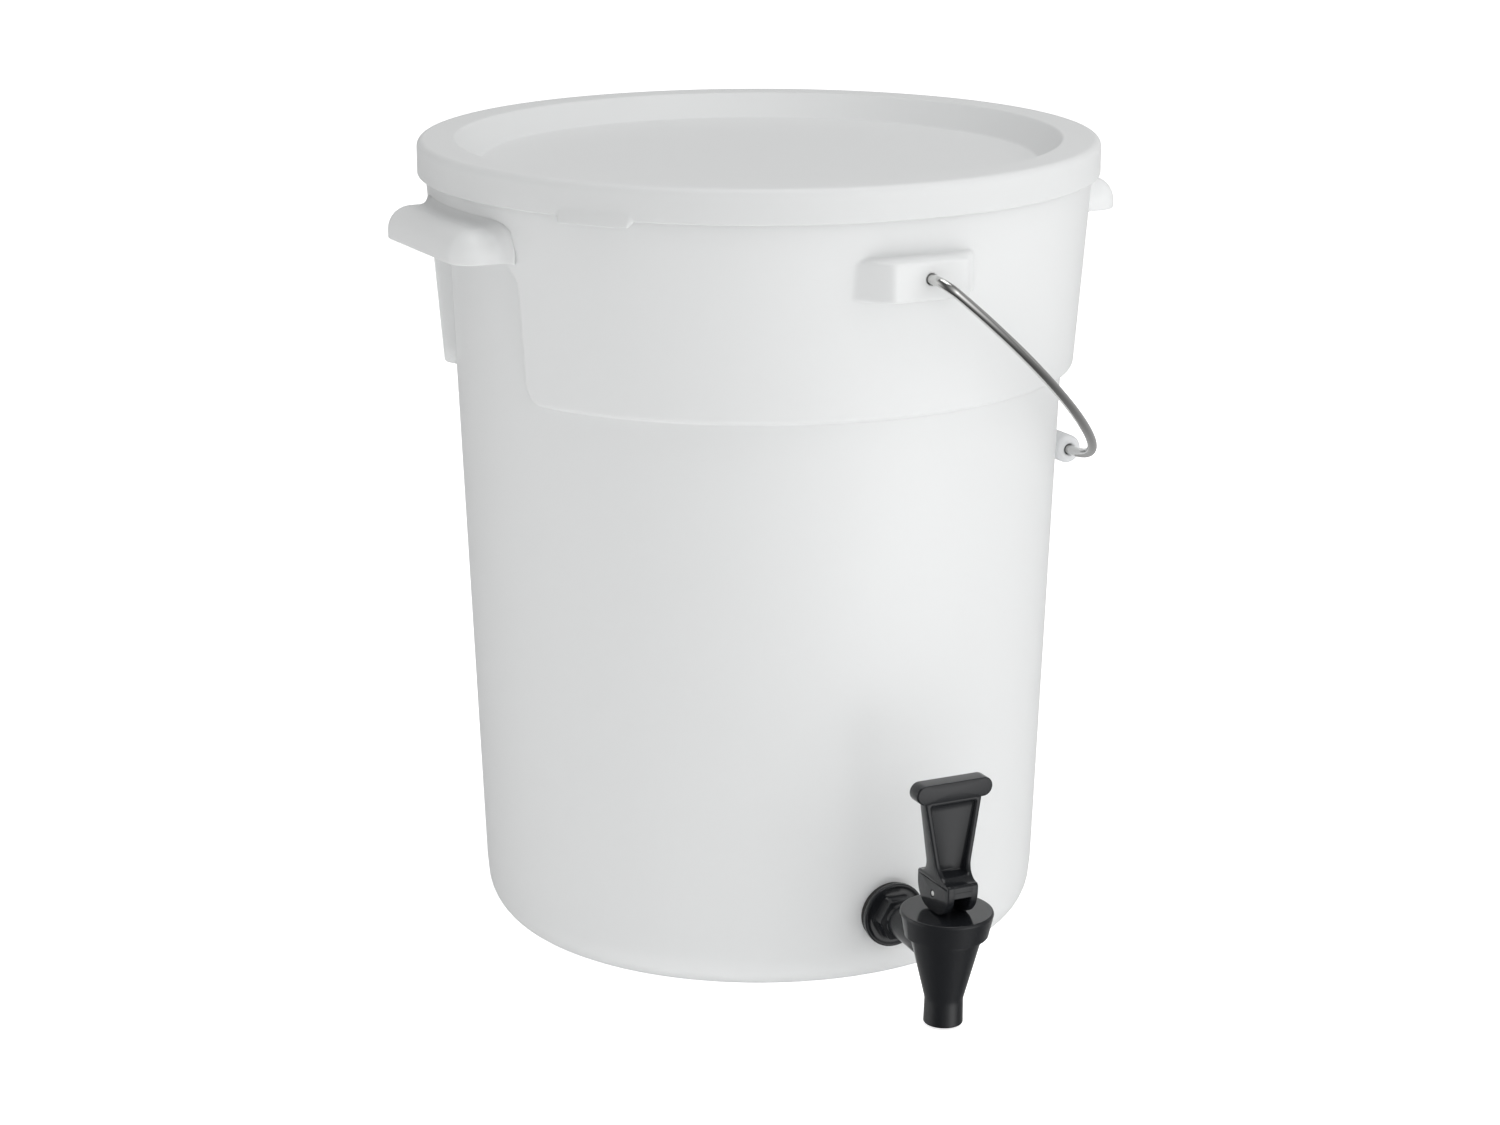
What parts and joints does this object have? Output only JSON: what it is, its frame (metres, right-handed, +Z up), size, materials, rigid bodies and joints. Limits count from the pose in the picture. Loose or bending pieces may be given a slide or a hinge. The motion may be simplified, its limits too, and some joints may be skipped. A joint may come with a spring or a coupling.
{
  "type": "fermenting bucket with tap",
  "caption": "Round white plastic pail with a lift-off lid, wire bail with a roller grip, moulded side handles and a black self-closing tap low on the wall.",
  "frame": {"origin": "centre of the base, on the face that the pail stands on", "axes": "+Z up, the tap towards -Y, side handles at +X and -X, bail pivots at +Y and -Y"},
  "size_m": [0.369, 0.4137, 0.4055],
  "materials": {
    "poly_white": "satin white polyethylene, slightly translucent",
    "lid_white": "satin white polyethylene, slightly translucent",
    "grip_white": "smooth white plastic",
    "stainless_wire": "bright drawn stainless wire",
    "tap_black": "glossy moulded black plastic",
    "rubber": "matt black rubber"
  },
  "bodies": {
    "pail": {"bucket": "poly_white", "bucket_band": "poly_white", "handle_right": "poly_white", "handle_left": "poly_white", "tap_body": "tap_black", "tap_bonnet": "tap_black", "tap_outer_washer": "rubber", "tap_inner_washer": "rubber", "tap_lock_nut": "tap_black"},
    "lid": {"lid": "lid_white"},
    "bail": {"bail_wire": "stainless_wire"},
    "grip": {"bail_grip": "grip_white"},
    "valve": {"tap_stem": "tap_black", "tap_seat_cup": "rubber", "tap_lever_pin": "stainless_wire", "tap_spring": "stainless_wire"},
    "lever": {"tap_lever": "tap_black"}
  },
  "joints": [
    {"name": "lid_lift", "type": "slide", "parent": "pail", "child": "lid", "axis": [0, 0, 1], "range_m": [0, 0.06]},
    {"name": "bail_swing", "type": "hinge", "parent": "pail", "child": "bail", "pos_m": [0, 0, 0.3615], "axis": [0, -1, 0], "range_deg": [0, 256.82]},
    {"name": "grip_spin", "type": "hinge", "parent": "bail", "child": "grip", "pos_m": [0.15831, 0, 0.23598], "axis": [0, 1, 0], "continuous": true},
    {"name": "stem_lift", "type": "slide", "parent": "pail", "child": "valve", "axis": [0, -0.042, 0.9991], "range_m": [0, 0.0041], "deforming": ["tap_spring"]},
    {"name": "lever_tilt", "type": "hinge", "parent": "valve", "child": "lever", "pos_m": [0, -0.19951, 0.06844], "axis": [1, 0, 0], "range_deg": [0, 60], "stiffness_Nm_per_rad": 0.15, "springref_deg": -17.19}
  ],
  "couplings": [
    {"joint": "stem_lift", "follows": "lever_tilt", "m_per_rad": 0.00382}
  ]
}
